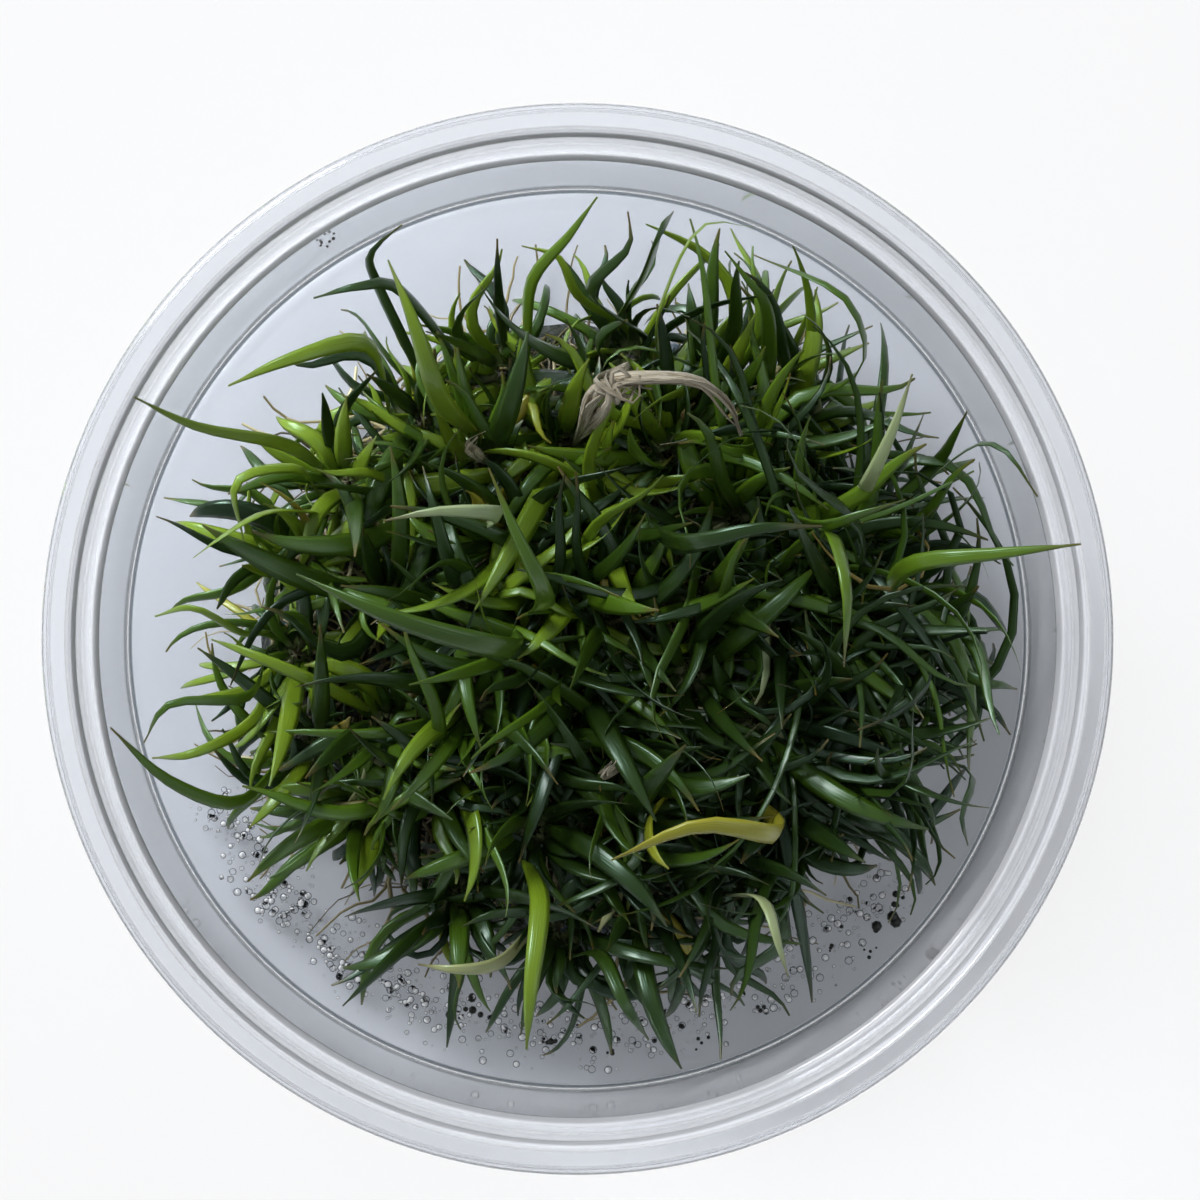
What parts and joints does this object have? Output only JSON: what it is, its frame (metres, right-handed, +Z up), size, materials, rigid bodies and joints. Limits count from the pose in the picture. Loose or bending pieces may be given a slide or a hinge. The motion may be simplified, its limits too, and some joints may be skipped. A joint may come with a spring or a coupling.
{
  "type": "tissue culture plant cup",
  "caption": "Open clear tissue culture cup of lilaeopsis, with tufts of strap leaves growing from a root mat.",
  "frame": {"origin": "middle of the cup's foot ring, on the surface it stands on", "axes": "+Z up along the cup's axis, +Y towards the top of the picture, +X to its right"},
  "size_m": [0.101, 0.101, 0.041],
  "materials": {
    "clear_cup": "clear moulded polypropylene, polished, with faint turned rings",
    "pale_roots": "wet tangled roots and runners, cream to brown",
    "leaf_green": "smooth fleshy leaves, deep green with lighter and yellowing ones, wet sheen"
  },
  "bodies": {
    "root": {"cup": "clear_cup", "root_mat": "pale_roots", "plantlet_01": "leaf_green", "plantlet_02": "leaf_green", "plantlet_03": "leaf_green", "plantlet_04": "leaf_green", "plantlet_05": "leaf_green", "plantlet_06": "leaf_green", "plantlet_07": "leaf_green", "plantlet_08": "leaf_green", "plantlet_09": "leaf_green", "plantlet_10": "leaf_green", "plantlet_11": "leaf_green", "plantlet_12": "leaf_green", "plantlet_13": "leaf_green", "plantlet_14": "leaf_green", "plantlet_15": "leaf_green", "plantlet_16": "leaf_green", "plantlet_17": "leaf_green", "plantlet_18": "leaf_green", "plantlet_19": "leaf_green", "plantlet_20": "leaf_green", "plantlet_21": "leaf_green", "plantlet_22": "leaf_green", "plantlet_23": "leaf_green", "plantlet_24": "leaf_green", "plantlet_25": "leaf_green", "plantlet_26": "leaf_green", "plantlet_27": "leaf_green", "plantlet_28": "leaf_green", "plantlet_29": "leaf_green", "plantlet_30": "leaf_green", "plantlet_31": "leaf_green", "plantlet_32": "leaf_green", "plantlet_33": "leaf_green", "plantlet_34": "leaf_green", "plantlet_35": "leaf_green", "plantlet_36": "leaf_green", "plantlet_37": "leaf_green", "plantlet_38": "leaf_green", "plantlet_39": "leaf_green", "plantlet_40": "leaf_green", "plantlet_41": "leaf_green", "plantlet_42": "leaf_green", "plantlet_43": "leaf_green"}
  },
  "joints": []
}
